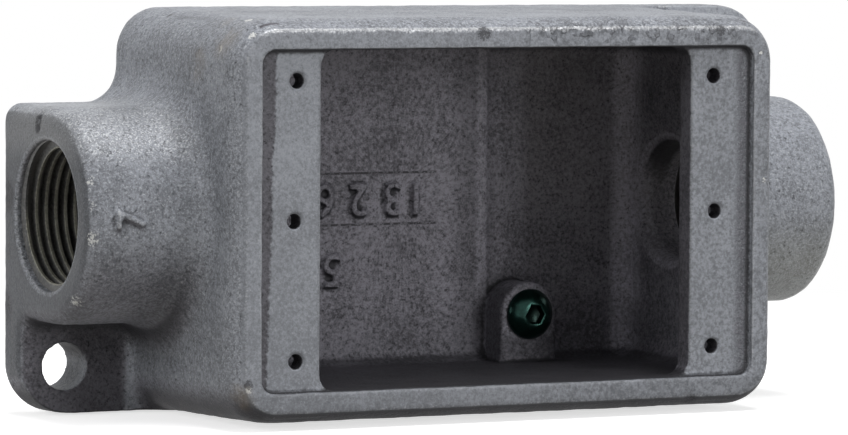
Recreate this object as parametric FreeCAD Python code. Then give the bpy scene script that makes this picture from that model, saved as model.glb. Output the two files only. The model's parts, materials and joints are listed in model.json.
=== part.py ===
# Cast device box: a one-gang feed-through box for wall mounting, with a threaded hub at each end,
# two mounting lugs at opposite corners of its back, and a ground screw on a boss inside.
# Millimetres. +Z up, X along the hubs, the back mounting plane at Y = 0, the open front facing -Y.
# Outside, the box looks the same after half a turn about the Y axis.
import FreeCAD, Part
import math
import os

# Front: the seat for a cover plate, with the tapped holes that place everything else
device_hole_spacing = 83.34     # along X, the standard for a one-gang device
cover_hole_inset = 0.42         # the cover holes lie this much nearer to the middle
cover_hole_spacing_z = 48.1     # across the box
tapped_hole_radius = 1.35
pad_inner_margin = 5.0          # device hole to the opening between the pads
pad_outer_margin = 6.9          # device hole to the end of the seat
cover_hole_margin = 5.3         # cover hole to the long side of the seat
seat_depth = 1.6                # front rim to the pads
seat_corner = 2.5
opening_corner = 3.0
pad_thickness = 4.2

# Body walls
depth = 50.8                    # front rim to back plane
end_rim = 5.0                   # width of the rim at the hub ends
side_wall = 5.25                # width of the rim and thickness of the long walls
end_wall = 4.2
back_wall = 4.0
side_draft = 1.2                # degrees, the long sides spread towards the back
body_corner = 8.0
front_edge_round = 7.5          # as cast
front_ground = 2.5              # ground off the rounded front, which leaves a crisp edge
back_edge_round = 2.2
chamber_floor_round = 3.5
chamber_corner_extra = 0.5      # the upright corners are this much rounder than the floor's edge
core_step_x = 19.6              # where the back wall steps down, to the right of the centre
core_step_height = 0.5

# Hubs
hub_length = 21.3               # past the end of the front rim
hub_radius = 18.9
hub_axis = 19.2                 # in front of the back plane
hub_root_round = 6.5
end_edge_round = 3.0
thread_radius = 13.1            # root of the tapered thread
thread_length = 16.5
mouth_chamfer = 0.4
throat_radius = 10.5            # smooth bushing behind the thread
throat_entry = 1.5              # length of the slope from thread to throat
throat_lip = 2.0                # size of its eased inner edge

# Mounting lugs
lug_thickness = 9.0
lug_corner = 9.0
lug_root_round = 3.0
lug_hole_radius = 4.2
lug_hole_from_end = 8.2
lug_hole_from_side = 8.5

# Ground boss and its screw
boss_x = 24.8
boss_above_floor = 8.8
boss_radius = 5.8
boss_height = 7.5
boss_edge = 0.5                 # size of its eased front edge
screw_radius = 2.4
screw_tip_chamfer = 0.6
screw_hole_clearance = 0.05     # all round the shank
screw_hole_spare = 0.9          # depth past the screw's tip
screw_hole_floor = 1.1          # metal left between the hole and the back plane
head_radius = 4.6
head_height = 2.55
head_rim = 0.5                  # upright edge below the dome, and flat ring round the socket
socket_across_flats = 3.2
socket_depth = 1.6

overrun = 1.0                   # how far a cutter or a joined form runs past a face
on_face = 1e-4                  # distance at which a point counts as lying on a face

V = FreeCAD.Vector
origin = V(0, 0, 0)
along_x, along_y = V(1, 0, 0), V(0, 1, 0)

# Places worked out from the sizes above, as half widths about the centre
cover_hole_spacing_x = device_hole_spacing - 2 * cover_hole_inset
seat_half_x = device_hole_spacing / 2 + pad_outer_margin
seat_half_z = cover_hole_spacing_z / 2 + cover_hole_margin
opening_half_x = device_hole_spacing / 2 - pad_inner_margin
front_half_x = seat_half_x + end_rim
front_half_z = seat_half_z + side_wall
chamber_half_x = front_half_x - end_wall
hub_end_x = front_half_x + hub_length
pad_front_y = -depth + seat_depth
pad_back_y = pad_front_y + pad_thickness
floor_y = -back_wall
boss_z = boss_above_floor - seat_half_z
boss_front_y = floor_y - boss_height
screw_hole_end_y = -screw_hole_floor
screw_tip_y = screw_hole_end_y - screw_hole_spare


def half_height(y):
    """Half height of the drafted outside at a depth."""
    return front_half_z + (y + depth) * math.tan(math.radians(side_draft))


def prism(points, direction):
    """A solid from a closed outline of straight sides, pushed along a direction."""
    return Part.Face(Part.makePolygon(points + points[:1])).extrude(direction)


def block(x0, x1, y0, y1, z0, z1):
    return Part.makeBox(x1 - x0, y1 - y0, z1 - z0, V(x0, y0, z0))


def flat_on(edge, axis, value):
    """True where an edge lies in the plane axis = value."""
    bounds = edge.BoundBox
    lowest, highest = getattr(bounds, axis + "Min"), getattr(bounds, axis + "Max")
    return abs(lowest - value) < on_face and abs(highest - value) < on_face


def middle(edge):
    return edge.valueAt((edge.FirstParameter + edge.LastParameter) / 2)


def runs_along(edge, direction):
    tangent = edge.tangentAt((edge.FirstParameter + edge.LastParameter) / 2)
    return abs(tangent.dot(direction)) > 0.9


def seam(joined, first, second):
    """Edges of a joined solid that run where two of its forms meet."""
    def lies_on(edge, form):
        return form.Shells[0].distToShape(Part.Vertex(middle(edge)))[0] < on_face
    return [edge for edge in joined.Edges if lies_on(edge, first) and lies_on(edge, second)]


def both_ends(solid):
    """A form and its copy half a turn about the Y axis away."""
    turned = solid.copy()
    turned.rotate(origin, along_y, 180)
    return [solid, turned]


def make_body():
    """The outside of the box without hubs: drafted long sides, round corners, and a rounded front ground flat."""
    cast_y = -depth - front_ground
    front_z, back_z = half_height(cast_y), half_height(0)
    x = front_half_x
    body = prism([V(-x, cast_y, -front_z), V(-x, cast_y, front_z), V(-x, 0, back_z), V(-x, 0, -back_z)],
                 V(2 * x, 0, 0))
    body = body.makeFillet(body_corner, [e for e in body.Edges if runs_along(e, along_y)])
    body = body.makeFillet(front_edge_round, [e for e in body.Edges if flat_on(e, "Y", cast_y)])
    return body.cut(block(-x, x, cast_y - overrun, -depth, -back_z, back_z))


def make_hubs():
    """Both hubs in one bar: round in front, with straight sides down to the back plane."""
    x = -hub_end_x
    top, bottom = V(x, -hub_axis, hub_radius), V(x, -hub_axis, -hub_radius)
    top_back, bottom_back = V(x, 0, hub_radius), V(x, 0, -hub_radius)
    nose = Part.Arc(top, V(x, -hub_axis - hub_radius, 0), bottom).toShape()
    outline = Part.Wire([nose] + Part.makePolygon([bottom, bottom_back, top_back, top]).Edges)
    return Part.Face(outline).extrude(V(2 * hub_end_x, 0, 0))


def make_lug():
    """The lower left lug with a square corner, flush with the hub's end, the long side and the back."""
    front_z, back_z = half_height(-lug_thickness), half_height(0)
    inner_x = body_corner - front_half_x
    return prism([V(-hub_end_x, -lug_thickness, -front_z), V(-hub_end_x, -lug_thickness, 0),
                  V(-hub_end_x, 0, 0), V(-hub_end_x, 0, -back_z)], V(hub_end_x + inner_x, 0, 0))


def make_lug_corner_cut():
    """What is taken off the lower left lug to round its outer corner, along the draft of the long side."""
    start_y, end_y = -lug_thickness - lug_root_round, overrun
    x, z, end_z = -hub_end_x, -half_height(start_y), -half_height(end_y)
    bulge = lug_corner * (1 - math.sqrt(0.5))
    on_end, on_side = V(x, start_y, z + lug_corner), V(x + lug_corner, start_y, z)
    arc = Part.Arc(on_end, V(x + bulge, start_y, z + bulge), on_side).toShape()
    outside = [on_side, V(on_side.x, start_y, z - overrun), V(x - overrun, start_y, z - overrun),
               V(x - overrun, start_y, on_end.z), on_end]
    outline = Part.Wire([arc] + Part.makePolygon(outside).Edges)
    return Part.Face(outline).extrude(V(0, end_y - start_y, end_z - z))


def make_bore():
    """What is cut from the left hub: mouth, thread, slope and throat, turned about the hub's axis."""
    mouth_x = -hub_end_x
    thread_end = mouth_x + thread_length
    throat_start = thread_end + throat_entry
    lip_end = -chamber_half_x
    lip_start = lip_end - throat_lip
    lip_radius = throat_radius + throat_lip
    inside_x = lip_end + overrun
    diagonal = math.sqrt(0.5)
    profile = [(mouth_x - overrun, 0), (mouth_x - overrun, thread_radius + mouth_chamfer + overrun),
               (mouth_x + mouth_chamfer, thread_radius), (thread_end, thread_radius),
               (throat_start, throat_radius), (lip_start, throat_radius),
               (lip_start + throat_lip * diagonal, lip_radius - throat_lip * diagonal),
               (lip_end, lip_radius), (inside_x, lip_radius), (inside_x, 0)]
    points = [V(x, -hub_axis, radius) for x, radius in profile]
    return Part.Face(Part.makePolygon(points + points[:1])).revolve(V(0, -hub_axis, 0), along_x, 360)


def make_chamber():
    """The hollow of the box: the seat, the opening between the pads and the space behind them."""
    def rounded(half_x, y0, y1, radius):
        room = block(-half_x, half_x, y0, y1, -seat_half_z, seat_half_z)
        return room.makeFillet(radius, [e for e in room.Edges if runs_along(e, along_y)])
    seat = rounded(seat_half_x, -depth - overrun, pad_front_y, seat_corner)
    opening = rounded(opening_half_x, pad_front_y - overrun, pad_back_y + overrun, opening_corner)
    space = rounded(chamber_half_x, pad_back_y, floor_y, chamber_floor_round + chamber_corner_extra)
    space = space.makeFillet(chamber_floor_round, [e for e in space.Edges if flat_on(e, "Y", floor_y)])
    step = block(-chamber_half_x, core_step_x, floor_y - core_step_height, floor_y + overrun,
                 -seat_half_z, seat_half_z)
    return seat.fuse([opening, space.cut(step)])


def make_boss():
    """The arch-shaped ground boss, standing on the back wall and on the lower long wall."""
    root_y = floor_y + overrun
    foot_z = -seat_half_z - overrun
    left, right = V(boss_x - boss_radius, root_y, boss_z), V(boss_x + boss_radius, root_y, boss_z)
    arch = Part.Arc(left, V(boss_x, root_y, boss_z + boss_radius), right).toShape()
    foot = [right, V(right.x, root_y, foot_z), V(left.x, root_y, foot_z), left]
    outline = Part.Wire([arch] + Part.makePolygon(foot).Edges)
    boss = Part.Face(outline).extrude(V(0, boss_front_y - root_y, 0))
    rim = [e for e in boss.Edges if flat_on(e, "Y", boss_front_y) and middle(e).z > foot_z + on_face]
    return boss.makeChamfer(boss_edge, rim)


def hole(x, z, radius, y_start, y_end):
    return Part.makeCylinder(radius, y_end - y_start, V(x, y_start, z), along_y)


def make_casting():
    body, hubs = make_body(), make_hubs()
    blank = body.fuse(hubs).removeSplitter()
    blank = blank.makeFillet(hub_root_round, seam(blank, body, hubs))

    lugs = both_ends(make_lug())
    casting = blank.fuse(lugs).removeSplitter()
    lug_front = [e for e in casting.Edges if flat_on(e, "Y", -lug_thickness)]
    roots = [e for lug in lugs for e in seam(casting, blank, lug) if any(e.isSame(f) for f in lug_front)]
    casting = casting.makeFillet(lug_root_round, roots)

    on_ends = [e for e in casting.Edges if flat_on(e, "X", hub_end_x) or flat_on(e, "X", -hub_end_x)]
    casting = casting.makeFillet(end_edge_round, [e for e in on_ends if not flat_on(e, "Y", 0)])
    casting = casting.cut(both_ends(make_lug_corner_cut()))
    casting = casting.makeFillet(back_edge_round, [e for e in casting.Edges if flat_on(e, "Y", 0)])

    casting = casting.cut([make_chamber()] + both_ends(make_bore()))
    casting = casting.fuse(make_boss())

    lug_hole_x = hub_end_x - lug_hole_from_end
    lug_hole_z = half_height(0) - lug_hole_from_side
    cuts = both_ends(hole(-lug_hole_x, -lug_hole_z, lug_hole_radius, -lug_thickness - overrun, overrun))
    cuts.append(hole(boss_x, boss_z, screw_radius + screw_hole_clearance,
                     boss_front_y - overrun, screw_hole_end_y))
    rows = [(device_hole_spacing, 0), (cover_hole_spacing_x, -cover_hole_spacing_z / 2),
            (cover_hole_spacing_x, cover_hole_spacing_z / 2)]
    for spacing, z in rows:
        cuts += [hole(side * spacing / 2, z, tapped_hole_radius, pad_front_y - overrun, pad_back_y + overrun)
                 for side in (-1, 1)]
    return casting.cut(cuts).removeSplitter()


def make_ground_screw():
    """A button-head screw, turned about its own axis, its head seated on the boss."""
    seat_y = boss_front_y
    rim_y, crown_y = seat_y - head_rim, seat_y - head_height
    socket_radius = socket_across_flats / math.sqrt(3)
    crown_radius = socket_radius + head_rim

    def at(radius, y):
        return V(boss_x + radius, y, boss_z)
    rim, crown = at(head_radius, rim_y), at(crown_radius, crown_y)
    rise = rim_y - crown_y
    centre_y = rim_y + (head_radius**2 - crown_radius**2 - rise**2) / (2 * rise)
    dome_radius = math.hypot(head_radius, centre_y - rim_y)
    middle_radius = (head_radius + crown_radius) / 2
    middle_y = centre_y - math.sqrt(dome_radius**2 - middle_radius**2)
    dome = Part.Arc(rim, at(middle_radius, middle_y), crown).toShape()
    shank = [at(0, screw_tip_y), at(screw_radius - screw_tip_chamfer, screw_tip_y),
             at(screw_radius, screw_tip_y - screw_tip_chamfer), at(screw_radius, seat_y),
             at(head_radius, seat_y), rim]
    axis = [crown, at(0, crown_y), at(0, screw_tip_y)]
    outline = Part.Wire(Part.makePolygon(shank).Edges + [dome] + Part.makePolygon(axis).Edges)
    screw = Part.Face(outline).revolve(V(boss_x, 0, boss_z), along_y, 360)
    turns = [math.pi / 3 * k for k in range(6)]
    corners = [V(boss_x + socket_radius * math.cos(turn), crown_y - overrun,
                 boss_z + socket_radius * math.sin(turn)) for turn in turns]
    return screw.cut(prism(corners, V(0, socket_depth + overrun, 0)))


os.makedirs("parts", exist_ok=True)
make_casting().exportStep("parts/box_casting.step")
make_ground_screw().exportStep("parts/ground_screw.step")
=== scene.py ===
import bpy
import bmesh
import json
import math
import numpy as np
from mathutils import Matrix, Vector, noise


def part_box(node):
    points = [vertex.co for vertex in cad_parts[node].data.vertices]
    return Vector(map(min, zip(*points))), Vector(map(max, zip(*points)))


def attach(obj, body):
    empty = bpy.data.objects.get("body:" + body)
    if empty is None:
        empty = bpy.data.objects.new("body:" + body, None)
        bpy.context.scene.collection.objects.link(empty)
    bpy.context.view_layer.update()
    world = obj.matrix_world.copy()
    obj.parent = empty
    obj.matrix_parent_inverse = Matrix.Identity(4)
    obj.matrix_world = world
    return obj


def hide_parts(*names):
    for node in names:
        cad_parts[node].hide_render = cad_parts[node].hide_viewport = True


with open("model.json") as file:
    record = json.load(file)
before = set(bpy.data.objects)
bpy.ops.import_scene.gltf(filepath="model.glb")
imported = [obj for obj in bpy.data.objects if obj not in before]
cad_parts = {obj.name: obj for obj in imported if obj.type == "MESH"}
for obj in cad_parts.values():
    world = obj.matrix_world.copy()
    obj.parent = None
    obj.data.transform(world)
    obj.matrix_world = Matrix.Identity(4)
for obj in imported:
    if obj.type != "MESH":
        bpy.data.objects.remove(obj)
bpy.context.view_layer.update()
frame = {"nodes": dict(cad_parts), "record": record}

# Box casting
# Grey iron poured in a sand mould as one piece, its pads and hub ends machined, under a thin grey coat.
# The solid gets the sand's skin: softened edges, uneven faces, raised figures and knocks from handling.
millimetre = 0.001
mounts = {mount["name"]: mount for mount in frame["record"]["mounts"]}
casting_low, casting_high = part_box("box_casting")
hub_end_x = casting_high.x
front_y = casting_low.y
pad_y = mounts["device_holes"]["pos_m"][1]
hub_y = mounts["left_hub"]["pos_m"][1]
bore_radius = mounts["left_hub"]["dims"]["r_mm"] * millimetre
hub_radius = 0.0189
back_wall_y = -0.0045
device_dims, cover_dims = mounts["device_holes"]["dims"], mounts["cover_holes"]["dims"]
hole_radius = device_dims["hole_r_mm"] * millimetre
device_x = device_dims["spacing_x_mm"] * millimetre / 2
cover_x, cover_z = (cover_dims[name] * millimetre / 2 for name in ("spacing_x_mm", "spacing_y_mm"))
pad_inner_x, pad_outer_x = device_x - 0.0050, device_x + 0.0069
screw_low, screw_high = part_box("ground_screw")
screw_axis = ((screw_low.x + screw_high.x) / 2, 0, (screw_low.z + screw_high.z) / 2)

weld_distance = 1e-6
skin_voxel = 0.00036
skin_triangles = 190000
edge_spread = 3
lump_size, lump_height = 0.0050, 0.00009
grit_size, grit_height = 0.0016, 0.00005
# How tall a numeral is as a share of its letter size, and how far its strokes are thickened
numeral_share, stroke_share = 0.69, 0.022
wall_figure_tall, wall_figure_height = 0.0058, 0.0010
hub_figure_tall, hub_figure_height = 0.0052, 0.0009
hub_figure_place = (-0.0671, hub_y - hub_radius, 0.0002)


def settled(piece):
    """The mesh that an object's modifiers leave."""
    return bpy.data.meshes.new_from_object(piece.evaluated_get(bpy.context.evaluated_depsgraph_get()))


def new_piece(name, data):
    """An object in the scene with a mesh, curve, light or camera as its data."""
    piece = bpy.data.objects.new(name, data)
    bpy.context.scene.collection.objects.link(piece)
    return piece


def raised_figure(figure, tall, height, place, right, out):
    """A plain numeral as a small solid, standing out of a face at a place."""
    letters = bpy.data.curves.new("figure", "FONT")
    letters.body = figure
    letters.size = tall / numeral_share
    letters.align_x, letters.align_y = "CENTER", "CENTER"
    letters.extrude = height
    letters.offset = stroke_share * tall
    carrier = new_piece("figure", letters)
    solid = settled(carrier)
    right, out = Vector(right).normalized(), Vector(out).normalized()
    turned = Matrix((right, out.cross(right), out)).transposed().to_4x4()
    solid.transform(Matrix.Translation(Vector(place)) @ turned)
    bpy.data.objects.remove(carrier)
    return solid


wall_figures = {"1": (0.0046, 0.0009), "3": (-0.0002, 0.0009), "2": (-0.0070, 0.0009),
                "6": (-0.0138, 0.0009), "5": (-0.0124, -0.0118)}
forwards = (0, -1, 0)
figures = [raised_figure(figure, wall_figure_tall, wall_figure_height,
                         (figure_x, back_wall_y, figure_z), (-1, 0, 0), forwards)
           for figure, (figure_x, figure_z) in wall_figures.items()]
figures.append(raised_figure("7", hub_figure_tall, hub_figure_height, hub_figure_place, (0, 0, 1), forwards))

welded = bmesh.new()
welded.from_mesh(frame["nodes"]["box_casting"].data)
bmesh.ops.remove_doubles(welded, verts=welded.verts, dist=weld_distance)
for solid in figures:
    welded.from_mesh(solid)
casting = new_piece("cast_box", bpy.data.meshes.new("cast_box"))
welded.to_mesh(casting.data)
welded.free()

skin = casting.modifiers.new("skin", "REMESH")
skin.mode, skin.voxel_size = "VOXEL", skin_voxel
ease = casting.modifiers.new("ease", "SMOOTH")
ease.factor, ease.iterations = 0.5, 2
casting.data = settled(casting)
casting.modifiers.clear()


def read_points(mesh, field):
    """One row of three numbers for each point of a mesh: its place or its normal."""
    values = np.empty(3 * len(mesh.vertices), np.float32)
    mesh.vertices.foreach_get(field, values)
    return values.reshape(-1, 3)


def between(values, start, end):
    """A smooth step from 0 at start to 1 at end, which may lie lower."""
    share = np.clip((values - start) / (end - start), 0, 1)
    return share * share * (3 - 2 * share)


# The sand's lumps and grit, which the ground pads, the cut bores and the flat back hardly have
places = read_points(casting.data, "co")
outward = read_points(casting.data, "normal")
across, depth = np.abs(places[:, 0]), places[:, 1]
on_pads = between(across, pad_inner_x - 0.0005, pad_inner_x)
on_pads = on_pads * between(np.abs(depth - pad_y), 0.0006, 0.0003)
off_axis = np.hypot(depth - hub_y, places[:, 2])
in_bores = between(across, 0.0500, 0.0510) * between(off_axis, 0.0152, 0.0142)
on_back = between(depth, -0.0006, -0.0002)
as_cast = 1 - np.clip(0.85 * on_pads + in_bores + on_back, 0, 1)
lumps = np.array([noise.noise(Vector(place) / lump_size) for place in places])
grit = np.array([noise.noise(Vector(place) / grit_size) for place in places])
swell = as_cast * (lump_height * lumps + grit_height * grit)

# Chips in the coat down to bright metal, each a place and a width
chips = [((-0.0748, -0.0367, 0.0070), 0.0022), ((-0.0749, -0.0378, 0.0030), 0.0022),
         ((-0.0749, -0.0379, -0.0030), 0.0028), ((-0.0749, -0.0310, -0.0150), 0.0030),
         ((-0.0510, -0.0508, -0.0283), 0.0011), ((-0.0535, -0.0435, 0.0296), 0.0012),
         ((-0.0503, -0.0500, 0.0322), 0.0014), ((-0.0480, -0.0437, 0.0344), 0.0013),
         ((0.0498, -0.0508, 0.0281), 0.0007), ((0.0508, -0.0508, 0.0054), 0.0008)]
# Knocks and casting flaws, each a place, a width and a depth
knocks = [((-0.0749, -0.0164, 0.0178), 0.0010, 0.0006), ((-0.0749, -0.0162, 0.0165), 0.0010, 0.0006),
          ((-0.0749, -0.0160, 0.0152), 0.0010, 0.0005), ((-0.0725, -0.0215, 0.0188), 0.0028, 0.0003),
          ((-0.0511, -0.0503, -0.0325), 0.0015, 0.0006), ((-0.0525, -0.0260, 0.0330), 0.0012, 0.0003),
          ((-0.0059, -0.0507, 0.0319), 0.0018, 0.0002), ((0.0360, -0.0507, -0.0330), 0.0020, 0.0003)]
knocks += [(place, 0.6 * width, 0.05 * width) for place, width in chips]
# Shallow pits along the front of the top rim, in three heights by turns
pit_count, pit_pitch, pit_width, pit_depth = 7, 0.0031, 0.0011, 0.00024
knocks += [((0.0055 + pit_pitch * k, front_y, 0.0313 + 0.0005 * (k % 3)), pit_width, pit_depth)
           for k in range(pit_count)]
for place, width, deep in knocks:
    away = np.linalg.norm(places - np.array(place), axis=1)
    swell -= deep * between(away, width, 0.2 * width)
casting.data.vertices.foreach_set("co", (places + outward * swell[:, None]).astype(np.float32).ravel())
casting.data.update()

# How far each point stands out from its neighbours: edges above nought, inside corners below
places = read_points(casting.data, "co").astype(float)
outward = read_points(casting.data, "normal").astype(float)
pairs = np.empty(2 * len(casting.data.edges), np.int32)
casting.data.edges.foreach_get("vertices", pairs)
first, second = pairs.reshape(-1, 2).T
run = places[second] - places[first]
bend = np.einsum("ij,ij->i", outward[second] - outward[first], run) / np.einsum("ij,ij->i", run, run)
neighbours = np.bincount(pairs, minlength=len(places))
standing = (np.bincount(first, bend, len(places)) + np.bincount(second, bend, len(places))) / neighbours
for _ in range(edge_spread):
    spread = np.bincount(first, standing[second], len(places))
    spread = spread + np.bincount(second, standing[first], len(places))
    standing = 0.5 * standing + 0.5 * spread / neighbours
edge_field = casting.data.attributes.new("standing", "FLOAT", "POINT")
edge_field.data.foreach_set("value", standing.astype(np.float32))

thin = casting.modifiers.new("thin", "DECIMATE")
thin.ratio = skin_triangles / (2 * len(casting.data.polygons))
casting.data = settled(casting)
casting.data.name = "cast_box"
casting.modifiers.clear()
casting.data.shade_smooth()


class Shade:
    """One output in a material's node tree. Sums, differences and products of these add Math nodes."""

    def __init__(self, tree, socket=None):
        self.tree = tree
        self.socket = socket

    def node(self, kind, settings, sockets, output=0):
        """Adds a node, its settings first and then its sockets' values or links, and gives one output."""
        made = self.tree.nodes.new("ShaderNode" + kind)
        for name, setting in settings.items():
            setattr(made, name, setting)
        for name, value in sockets.items():
            if isinstance(value, Shade):
                self.tree.links.new(value.socket, made.inputs[name])
            else:
                made.inputs[name].default_value = value
        return Shade(self.tree, made.outputs[output])

    def math(self, operation, *others):
        return self.node("Math", {"operation": operation}, dict(enumerate((self,) + others)))

    def __add__(self, other):
        return self.math("ADD", other)

    def __sub__(self, other):
        return self.math("SUBTRACT", other)

    def __rsub__(self, other):
        return self.math("MULTIPLY_ADD", -1, other)

    def __mul__(self, other):
        return self.math("MULTIPLY", other)

    def __abs__(self):
        return self.math("ABSOLUTE")

    __radd__ = __add__
    __rmul__ = __mul__

    def most(self, *others):
        """The largest of this and some others."""
        largest = self
        for other in others:
            largest = largest.math("MAXIMUM", other)
        return largest

    def step(self, start, end):
        """A smooth step from 0 at start to 1 at end."""
        return self.node("MapRange", {"interpolation_type": "SMOOTHSTEP"},
                         {"Value": self, "From Min": start, "From Max": end})

    def fade(self, start, end):
        """A smooth step from 1 at start down to 0 at end."""
        return 1 - self.step(start, end)

    def band(self, start, full, leave, end):
        """A smooth rise from 0 at start to 1 at full, and a fall from leave to 0 at end."""
        return self.step(start, full) * self.fade(leave, end)

    def mix(self, low, high):
        """A colour between two, with this as the share of the second."""
        return self.node("Mix", {"data_type": "RGBA"}, {0: self, 6: low, 7: high}, 2)

    def grain(self, size, detail=3.0, rough=0.55):
        """Noise about 0.5 at this place, with spots of a size in metres."""
        return self.node("TexNoise", {},
                         {"Vector": self, "Scale": 1 / size, "Detail": detail, "Roughness": rough})

    def flat(self, *axes):
        """This place with some of its three numbers set to nought."""
        return self.node("VectorMath", {"operation": "MULTIPLY"}, {0: self, 1: axes})

    def away(self, place):
        """The distance from a place."""
        return self.node("VectorMath", {"operation": "DISTANCE"}, {0: self, 1: place}, "Value")

    def spots(self, places):
        """1 at any of some places, each given with its width, and 0 past that width from all of them."""
        marks = [self.away(place).fade(0.3 * width, width) for place, width in places]
        return marks[0].most(*marks[1:])

    def bump(self, depth, strength):
        """The normal of a relief of a depth in metres, with this as its height."""
        return self.node("Bump", {}, {"Height": self, "Distance": depth, "Strength": strength})


def start_finish(name):
    """A new material: its surface node, the place on the object, and the place's three numbers."""
    material = bpy.data.materials.new(name)
    material.use_nodes = True
    surface = material.node_tree.nodes["Principled BSDF"]
    place = Shade(material.node_tree).node("TexCoord", {}, {}, "Object")
    apart = [place.node("SeparateXYZ", {}, {"Vector": place}, k) for k in range(3)]
    return material, surface, place, apart


def connect(surface, **sockets):
    """Links shades to a surface's sockets, named with underscores for spaces."""
    for name, value in sockets.items():
        value.tree.links.new(value.socket, surface.inputs[name.replace("_", " ")])


def grey(level, red=0.95, blue=1.11):
    """A linear grey, a little on the blue side."""
    return (level * red, level, level * blue, 1)


def violet(level):
    """A linear grey with a breath of violet, as where little coat covers the iron."""
    return grey(0.975 * level, 1.026, 1.144)


cast_coat, surface, place, (x, y, z) = start_finish("silver_grey_coat")
wide, tall = abs(x), abs(z)
on_right, upper = x.step(0.0, 0.01), z.step(0.0, 0.01)
front_on = place.flat(1, 0, 1)
from_axis = place.flat(0, 1, 1).away((0, hub_y, 0))
edge = place.node("Attribute", {"attribute_name": "standing"}, {}, 2)
normal = place.node("NewGeometry", {}, {}, "Normal")
faces_left, faces_front, faces_down = (0 - place.node("SeparateXYZ", {}, {"Vector": normal}, k)
                                       for k in range(3))
sand = place.grain(0.00070, 3.0, 0.6)
speck = place.grain(0.00034, 2.0, 0.6)
patch = place.grain(0.0090, 4.0, 0.6)
cloud = place.grain(0.0280, 3.0)

# Thin coat and painted shade in the chamber and throats; painted shade on the lower lug's front and the
# underside
# The chamber's limits are pairs: where its soft edge starts and where it ends
chamber_side, chamber_top, chamber_back = (0.0492, 0.0497), (0.0305, 0.0312), (-0.0035, -0.0025)
inside = wide.fade(*chamber_side) * tall.fade(*chamber_top)
inside = inside * y.band(pad_y + 0.0002, pad_y + 0.0008, *chamber_back)
on_wall = inside * y.step(back_wall_y - 0.0017, back_wall_y - 0.0007)
throats = wide.band(0.0488, 0.0494, hub_end_x - 0.0022, hub_end_x - 0.0016)
throats = throats * from_axis.fade(bore_radius + 0.0002, bore_radius + 0.0004)
bores = throats * wide.step(0.0570, 0.0585)
mouths = wide.step(hub_end_x - 0.0020, hub_end_x - 0.0015)
mouths = mouths * from_axis.fade(bore_radius + 0.0006, bore_radius + 0.0010)
hub_ends = wide.step(hub_end_x - 0.0007, hub_end_x - 0.0003)
on_hubs = wide.step(0.0540, 0.0570) * from_axis.fade(hub_radius + 0.0006, hub_radius + 0.0016)
before_right_hub = x.fade(0.0540, 0.0555)
lugs = wide.step(0.0545, 0.0560) * tall.step(0.0195, 0.0205)
lug_front = lugs * z.fade(-0.0180, -0.0165) * y.step(-0.0120, -0.0100) * faces_front.step(0.4, 0.8)
painted_underside_shade = 0.9 * faces_down.step(0.05, 0.70) * before_right_hub * (1 - 0.35 * on_hubs)
thin_coat_and_shade = inside.most(throats, lug_front, painted_underside_shade)
# Painted shade on the low rim and on faces that turn down, less on the hubs and none on the right hub
low_rim = y.fade(-0.0470, -0.0430) * (0.20 * z.fade(-0.0300, -0.0290) + 0.80 * z.fade(-0.0345, -0.0318))
painted_low_shade = low_rim.most(faces_down.step(0.15, 0.75) * before_right_hub * (1 - 0.7 * on_hubs))

# The pads and the rim's front are ground, apart from a strip along each outer wall that the wheel left
pads = y.band(pad_y - 0.0004, pad_y - 0.0002, pad_y + 0.0002, pad_y + 0.0004)
pads = pads * wide.band(pad_inner_x - 0.0004, pad_inner_x, pad_outer_x - 0.0002, pad_outer_x)
wheel_edge = 0.0012 * (patch - 0.5) + 0.0012 * (sand - 0.5)
left_strip = (x - 0.030 * z + wheel_edge).fade(-0.0464, -0.0458)
right_strip = (x + 2.0 * wheel_edge).step(0.0452, 0.0472) * (0.25 + 0.60 * sand.step(0.40, 0.58))
unground = pads * left_strip.most(right_strip)
ground = (pads - unground).most(y.fade(front_y + 0.0004, front_y + 0.0008))

# The coat's own colour, and the layers over it in their order, each as its share and its colour
tone = 0.62 * sand + 0.38 * speck + 0.30 * (patch - 0.5) + 0.25 * (cloud - 0.5)
tone = tone.step(0.34, 0.66)
colour = tone.mix(grey(0.160), grey(0.345))
warm_bounce_tint, bare_iron, rust = (0.37, 0.37, 0.30, 1), (0.090, 0.088, 0.085, 1), (0.21, 0.17, 0.12, 1)
layers = [
    # Painted light: the upper lugs' front faces are lighter
    (0.5 * lugs * upper * faces_front.step(0.1, 0.5), grey(0.42)),
    (0.08 * on_hubs * x.fade(-0.03, 0.0), grey(0.05)),
    # Painted warm bounce light: the right hub's lower half is tinted straw
    (0.25 * on_hubs * on_right * z.fade(-0.0120, 0.0), warm_bounce_tint),
    (hub_ends, tone.mix(grey(0.075), grey(0.135))),
    (mouths, tone.mix(grey(0.090), grey(0.290))),
    (thin_coat_and_shade, tone.mix(violet(0.092), violet(0.290))),
]
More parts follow.
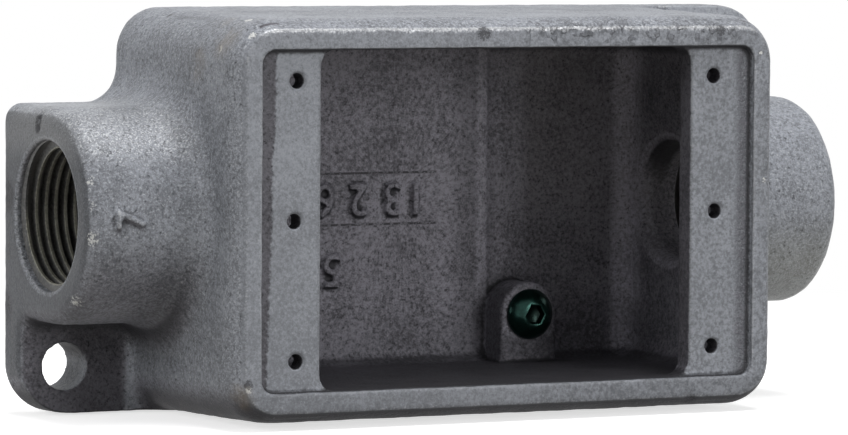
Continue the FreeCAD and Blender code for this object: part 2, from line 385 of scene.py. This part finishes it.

# Painted light and shade: the chamber is lighter on its right half, near the top, in the corners
# and on the right throat's lip, and darker low on the back wall and beside the ridge, as is the front of the
# lower lug
right_half = inside.most(throats) * x.step(0.0050, 0.0350)
near_top = on_wall * (0.35 * z.step(0.0160, 0.0280) + 0.25 * z.step(0.0240, 0.0290))
beside_ridge = on_wall * x.band(0.0110, 0.0150, 0.0205, 0.0225)
ridge = on_wall * x.band(0.0168, 0.0182, 0.0192, 0.0202)
upper_right = on_wall * x.step(0.0240, 0.0270) * z.step(-0.0050, 0.0060)
corners = inside * wide.step(0.0440, 0.0465) * y.step(-0.0130, -0.0095)
right_corner = inside * x.step(0.0456, 0.0468) * y.step(-0.0100, -0.0080)
lip = inside.most(throats) * x.band(0.0450, 0.0460, 0.0510, 0.0530) * from_axis.fade(0.0122, 0.0128)
layers += [
    (0.65 * right_half, tone.mix(violet(0.165), violet(0.440))),
    (0.30 * on_wall * z.fade(-0.0290, -0.0170), violet(0.040)),
    (near_top, tone.mix(violet(0.20), violet(0.42))),
    (0.40 * lug_front, violet(0.030)),
    (0.25 * beside_ridge, violet(0.040)),
    (0.30 * upper_right, tone.mix(violet(0.36), violet(0.68))),
    (0.5 * corners + 0.45 * ridge, tone.mix(violet(0.27), violet(0.58))),
    (0.85 * right_corner + 0.70 * lip * (1 - right_corner), tone.mix(violet(0.36), violet(0.72))),
]

# Painted shade, darkest beside and under the ground boss, on the pads' inner sides and on the lower wall
boss_x, _, boss_z = screw_axis
by_boss = front_on.away(screw_axis)
boss_side = inside * faces_left.step(0.3, 0.8) * by_boss.fade(0.0100, 0.0105)
boss_side = boss_side * y.band(-0.0121, -0.0116, -0.0060, -0.0050)
boss_shadow = on_wall * by_boss.fade(0.0062, 0.0092) * x.fade(boss_x, boss_x + 0.0050)
boss_foot = inside * by_boss.fade(0.0120, 0.0130) * y.band(-0.0140, -0.0125, -0.0100, -0.0085)
boss_foot = boss_foot * z.fade(boss_z - 0.0050, boss_z - 0.0025)
pad_sides = inside * wide.step(0.0350, 0.0360) * y.fade(-0.0440, -0.0425)
lower_wall = wide.fade(*chamber_side) * z.fade(-0.0285, -0.0275) * faces_down.fade(-0.8, -0.3)
lower_wall = lower_wall * y.band(front_y + 0.0003, front_y + 0.0008, *chamber_back)
layers += [
    ((0.55 * boss_side).most(0.45 * boss_shadow, 0.48 * boss_foot, 0.60 * pad_sides), violet(0.025)),
    (lower_wall * (0.65 + 0.27 * y.fade(-0.0450, -0.0200)), violet(0.018)),
]

# The ground faces, the strips that the wheel left, painted shade on the low rim and the faces that turn
# down, and the cut bores
layers += [
    (ground, tone.mix(grey(0.172), grey(0.288))),
    (0.45 * ground * on_right * sand.fade(0.32, 0.58), grey(0.11)),
    (unground, tone.mix(violet(0.051), violet(0.119))),
    (0.9 * painted_low_shade, violet(0.020)),
    (bores, bare_iron),
]

# Bright grains of the coat, more of them as painted highlight on the top's front band and the upper left
# hub, which is also painted lighter;
# bare metal along the edges, dirt and painted shade in the corners, and dark pores
painted_hub_highlight = x.fade(-0.0575, -0.0515) * from_axis.fade(0.0205, 0.0255) * z.band(0.0080, 0.0140, 0.0172, 0.0215)
top_band = z.step(0.0325, 0.0335) * y.fade(-0.0430, -0.0360)
flecks = (speck + 0.05 * painted_hub_highlight + 0.03 * top_band).step(0.56, 0.72) * (1 - thin_coat_and_shade)
flecks = flecks * (1 - 0.8 * ground) * (1 - unground) * (1 - 0.8 * hub_ends)
on_figure = place.spots([(hub_figure_place, 0.0050)])
top_rim = y.fade(-0.0497, -0.0487) * z.step(0.0314, 0.0324)
spared = (wide.fade(0.0492, 0.0498) * tall.fade(0.0300, 0.0306)).most(lugs, on_figure)
rubbed = (edge + 1000 * (speck - 0.5) + 200 * top_rim).step(350, 1100)
rubbed = rubbed * (1 - thin_coat_and_shade) * (1 - 0.8 * spared) * (0.55 + 0.45 * top_rim)
corner_dirt_and_shade = (edge + 500 * (sand - 0.5)).fade(-700, -180) * (1 - lugs * upper)
pits = (0.5 * sand + 0.5 * speck - 0.015 * thin_coat_and_shade).fade(0.32, 0.40) * (1 - 0.7 * ground)
layers += [
    (0.20 * painted_hub_highlight, grey(0.45, 0.98, 1.03)),
    ((0.35 + 0.40 * painted_hub_highlight) * flecks, grey(0.60, 0.98, 1.03)),
    (rubbed, grey(0.58, 0.99, 1.02)),
    ((0.80 + 0.15 * inside) * corner_dirt_and_shade, violet(0.024)),
    (0.5 * pits, violet(0.030)),
]

# Marks of use: chips to bright metal, dark scuffs, a scratch, blisters on the rim and faint brown stains
ragged = 1.6 * (speck - 0.5) + 1.6 * (sand - 0.5)
chipped = (0.90 * place.spots(chips) + ragged).step(0.50, 0.85)
scuffs = place.spots([((-0.0492, -0.0146, 0.0345), 0.0012), ((-0.0749, -0.0160, 0.0165), 0.0022),
                      ((-0.0749, -0.0157, 0.0150), 0.0018), ((-0.0510, -0.0508, -0.0275), 0.0015),
                      ((-0.0749, -0.0024, 0.0028), 0.0052), ((-0.0749, -0.0014, -0.0172), 0.0056),
                      ((-0.0511, -0.0500, -0.0323), 0.0020), ((-0.0059, -0.0508, 0.0319), 0.0024),
                      ((0.0415, -0.0508, 0.0322), 0.0018)])
scuffed = (0.95 * scuffs + ragged).step(0.55, 0.90)
scratch = abs(z - 0.0342).fade(0.0001, 0.0005) * x.fade(-0.0470, -0.0460)
scratch = scratch * y.band(-0.0320, -0.0290, -0.0200, -0.0170) * sand.step(0.40, 0.60)
blisters = y.fade(-0.0488, -0.0482) * z.step(0.0300, 0.0310) * x.band(0.0010, 0.0040, 0.0430, 0.0460)
blisters = blisters * place.grain(0.0017, 1.0).step(0.52, 0.62)
stains = place.spots([((-0.0500, -0.0375, 0.0335), 0.0035), ((-0.0525, -0.0440, 0.0315), 0.0050),
                      ((-0.0536, -0.0350, 0.0270), 0.0045), ((-0.0520, -0.0490, -0.0300), 0.0035)])
layers += [
    (0.85 * chipped, grey(0.66, 1.0, 0.98)),
    (0.5 * scratch, violet(0.030)),
    (0.8 * scuffed, violet(0.030)),
    (0.65 * blisters * sand.step(0.45, 0.60), violet(0.060)),
    (0.45 * stains * patch.step(0.35, 0.6), rust),
]

# Faint lines on the back wall, where a loose plate for the figures sat in the pattern, the ring of a pin,
# and the rims of the tapped holes, where the coat is worn
plate = on_wall * x.band(-0.0180, -0.0170, 0.0088, 0.0096)
plate_edges = abs(z - 0.0054).fade(0.00010, 0.00034) + abs(z + 0.0039).fade(0.00010, 0.00034)
pin_ring = abs(front_on.away((0.0380, 0, 0.0192)) - 0.0031).fade(0.0002, 0.0007)
hole_places = [(side * hole_x, 0, hole_z) for side in (1, -1)
               for hole_x, hole_z in ((device_x, 0), (cover_x, cover_z), (cover_x, -cover_z))]
hole_rims = front_on.spots([(hole, hole_radius + 0.0005) for hole in hole_places])
layers += [
    (0.9 * plate * plate_edges * sand.step(0.40, 0.54), violet(0.020)),
    (0.40 * on_wall * pin_ring * sand.step(0.40, 0.60), violet(0.30)),
    (0.5 * pads * hole_rims.step(0.0, 0.3), grey(0.40)),
]
for share, tint in layers:
    colour = share.mix(colour, tint)

height = 0.6 * sand + 0.4 * speck - 0.40 * pits
height = height * (1 - 0.75 * ground) + 0.9 * blisters
connect(surface, Base_Color=colour,
        Roughness=0.48 + 0.22 * (sand - 0.5) + 0.12 * thin_coat_and_shade - 0.12 * rubbed - 0.10 * painted_hub_highlight,
        Metallic=0.14 + 0.45 * rubbed - 0.14 * thin_coat_and_shade.most(painted_low_shade),
        Normal=height.bump(0.00026, 0.9))
surface.inputs["Specular IOR Level"].default_value = 0.22
casting.data.materials.clear()
casting.data.materials.append(cast_coat)
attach(casting, "root")
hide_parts("box_casting")

# Conduit threads
# The tapered pipe thread that is cut in each hub: a ridge of bare dark iron that winds down the bore.
# Its first turn rises out of the mouth, its last runs out before the throat, and its crests are bright.
thread_pitch = 0.001814
thread_taper = 1 / 32
thread_start, thread_end = 0.0013, 0.0160
rise_turns, fall_turns = 0.3, 0.4
lowest_rise = 0.02
ridge_height = 0.00125
ridge_foot, ridge_crest = 0.00170, 0.00044
ridge_sink, foot_depth = 0.00005, 0.00070
steps_per_turn = 96

cut_iron, surface, place, (x, y, z) = start_finish("cut_iron")
streak = place.grain(0.0005, 3.0)
smear = place.grain(0.0040, 3.0)
tone = (0.6 * streak + 0.4 * smear).step(0.3, 0.7)
wall_radius = bore_radius - thread_taper * (hub_end_x - abs(x))
above_wall = wall_radius - place.flat(0, 1, 1).away((0, hub_y, 0))
on_crest = (above_wall + 0.0003 * (streak - 0.5)).step(0.72 * ridge_height, 0.90 * ridge_height)
flank = tone.mix((0.055, 0.055, 0.055, 1), (0.150, 0.149, 0.146, 1))
bright = tone.mix((0.15, 0.147, 0.122, 1), (0.29, 0.284, 0.240, 1))
connect(surface, Base_Color=on_crest.mix(flank, bright), Roughness=0.40 + 0.2 * smear,
        Normal=streak.bump(0.00008, 0.6))
surface.inputs["Metallic"].default_value = 0.4


def conduit_thread(name, side):
    """A closed ridge of four corners, wound along the bore from the mouth inwards."""
    coil = bmesh.new()
    count = int((thread_end - thread_start) / thread_pitch * steps_per_turn)
    rows = []
    for step in range(count + 1):
        angle = 2 * math.pi * step / steps_per_turn
        inward = thread_start + thread_pitch * step / steps_per_turn
        rise = min(1.0, step / (rise_turns * steps_per_turn), (count - step) / (fall_turns * steps_per_turn))
        wall = bore_radius - thread_taper * inward
        foot = wall + foot_depth
        crest = wall + ridge_sink - ridge_height * max(rise, lowest_rise)
        row = []
        for along, radius in ((-ridge_foot / 2, foot), (-ridge_crest / 2, crest),
                              (ridge_crest / 2, crest), (ridge_foot / 2, foot)):
            corner = (side * (hub_end_x - inward - along),
                      hub_y + radius * math.sin(angle), radius * math.cos(angle))
            row.append(coil.verts.new(corner))
        rows.append(row)
    for row, following in zip(rows, rows[1:]):
        for k in range(4):
            coil.faces.new((row[k], row[(k + 1) % 4], following[(k + 1) % 4], following[k]))
    coil.faces.new(rows[0])
    coil.faces.new(rows[-1])
    bmesh.ops.recalc_face_normals(coil, faces=coil.faces)
    mesh = bpy.data.meshes.new(name)
    coil.to_mesh(mesh)
    coil.free()
    mesh.materials.append(cut_iron)
    thread = new_piece(name, mesh)
    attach(thread, "root")


conduit_thread("left_hub_thread", -1)
conduit_thread("right_hub_thread", 1)

# Ground screw
# A button-head machine screw with a hexagon socket, plated and dyed deep green, turned into the boss.
# The solid is kept, with its edges broken as on a formed head.
screw_edge = 0.00016
flat_angle, edge_angle = math.radians(0.5), math.radians(40)

screw = new_piece("green_ground_screw", frame["nodes"]["ground_screw"].data.copy())
welded = bmesh.new()
welded.from_mesh(screw.data)
bmesh.ops.remove_doubles(welded, verts=welded.verts, dist=weld_distance)
bmesh.ops.dissolve_limit(welded, angle_limit=flat_angle, verts=welded.verts, edges=welded.edges)
welded.to_mesh(screw.data)
welded.free()
broken = screw.modifiers.new("broken", "BEVEL")
broken.width, broken.segments = screw_edge, 2
broken.limit_method, broken.angle_limit = "ANGLE", edge_angle
screw.data = settled(screw)
screw.data.name = "green_ground_screw"
screw.modifiers.clear()
screw.data.shade_smooth()

green_dye, surface, place, (x, y, z) = start_finish("green_dye")
smear = place.grain(0.0016, 4.0, 0.6)
fine = place.grain(0.00025, 2.0)
thinned = (0.7 * smear + 0.3 * fine).step(0.35, 0.75)
dye = thinned.mix((0.007, 0.024, 0.020, 1), (0.018, 0.064, 0.052, 1))
# Painted shade deep in the hexagon socket: the dye turns near black there
socket_shade = place.flat(1, 0, 1).away(screw_axis).fade(0.0018, 0.0021)
socket_shade = socket_shade * y.step(screw_low.y + 0.0003, screw_low.y + 0.0008)
connect(surface, Base_Color=(0.8 * socket_shade).mix(dye, (0.002, 0.006, 0.005, 1)),
        Roughness=0.16 + 0.16 * smear, Normal=(0.6 * fine + 0.4 * smear).bump(0.00003, 0.5))
surface.inputs["Metallic"].default_value = 0.8
screw.data.materials.clear()
screw.data.materials.append(green_dye)
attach(screw, "root")
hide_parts("ground_screw")

# Floor
# A pale table top under the long side that the box stands on, which runs out into the white behind it.
floor_half = 3.0
floor_drop = 0.0002
floor_z = casting_low.z - floor_drop
box_middle = Vector((0, front_y / 2, 0))
glow_level = 0.66
near_radius, far_radius = 0.12, 0.30

table_top = bpy.data.meshes.new("floor")
table_top.from_pydata([(-floor_half, -floor_half, floor_z), (floor_half, -floor_half, floor_z),
                       (floor_half, floor_half, floor_z), (-floor_half, floor_half, floor_z)],
                      [], [(0, 1, 2, 3)])
floor = new_piece("floor", table_top)


def seen_directly(tree):
    """1 for rays from the camera, off a gloss or through glass, and 0 for light that only bounces."""
    camera_ray, gloss_ray, glass_ray = (Shade(tree).node("LightPath", {}, {}, "Is %s Ray" % way)
                                        for way in ("Camera", "Glossy", "Transmission"))
    return camera_ray.most(gloss_ray, glass_ray)


pale, surface, place, (x, y, z) = start_finish("pale_floor")
tree = pale.node_tree
surface.inputs["Base Color"].default_value = (0.80, 0.80, 0.80, 1)
surface.inputs["Roughness"].default_value = 0.9
dull = place.node("BsdfDiffuse", {}, {"Color": (0.22, 0.205, 0.17, 1)})
glow = place.node("Emission", {}, {"Color": (1, 1, 1, 1), "Strength": glow_level})
lit = place.node("AddShader", {}, {0: glow, 1: Shade(tree, surface.outputs[0])})
white = place.node("Emission", {}, {"Color": (1, 1, 1, 1), "Strength": 1.0})
far = place.flat(1, 1, 0).away(box_middle).step(near_radius, far_radius)
shown = place.node("MixShader", {}, {0: far, 1: lit, 2: white})
result = place.node("MixShader", {}, {0: seen_directly(tree), 1: dull, 2: shown})
tree.links.new(result.socket, tree.nodes["Material Output"].inputs["Surface"])
table_top.materials.append(pale)

# Studio light
# A soft box overhead, one from the right in front and one from the left, in a dim white room.
room_level = 0.20

world = bpy.data.worlds.new("room")
bpy.context.scene.world = world
world.use_nodes = True
tree = world.node_tree
room = tree.nodes["Background"]
room.inputs["Color"].default_value = (1, 1, 1, 1)
connect(room, Strength=room_level + (1 - room_level) * seen_directly(tree))


def softbox(name, place, size, level):
    """A square light of a brightness, aimed at the box."""
    lamp = bpy.data.lights.new(name, "AREA")
    lamp.shape, lamp.size = "SQUARE", size
    lamp.energy = level * math.pi * size * size
    light = new_piece(name, lamp)
    light.location = place
    light.rotation_euler = (box_middle - Vector(place)).to_track_quat("-Z", "Y").to_euler()


softbox("overhead", (0.04, -0.15, 0.75), 0.40, 9.0)
softbox("right_front", (0.37, -0.95, 0.16), 0.35, 9.4)
softbox("left_side", (-0.75, -0.10, 0.27), 0.40, 3.7)

# Camera
# A long lens from the left and a little above, level but for a slight lean.
image_width = 848
focal_pixels = 5555
view_azimuth, view_elevation, view_lean = math.radians(-27.65), math.radians(3.50), math.radians(0.37)
view_distance = 0.9585
aim = Vector((-0.01758, front_y, 0.00028))

lens = bpy.data.cameras.new("camera")
lens.sensor_width = 36
lens.lens = focal_pixels * lens.sensor_width / image_width
lens.clip_start = 0.05
camera = new_piece("camera", lens)
towards = Vector((math.sin(view_azimuth) * math.cos(view_elevation),
                  -math.cos(view_azimuth) * math.cos(view_elevation), math.sin(view_elevation)))
level_right = Vector((0, 0, 1)).cross(towards).normalized()
level_up = towards.cross(level_right)
right = level_right * math.cos(view_lean) + level_up * math.sin(view_lean)
up = level_up * math.cos(view_lean) - level_right * math.sin(view_lean)
turned = Matrix((right, up, towards)).transposed().to_4x4()
camera.matrix_world = Matrix.Translation(aim + towards * view_distance) @ turned
bpy.context.scene.camera = camera
bpy.context.scene.view_settings.view_transform = "Standard"
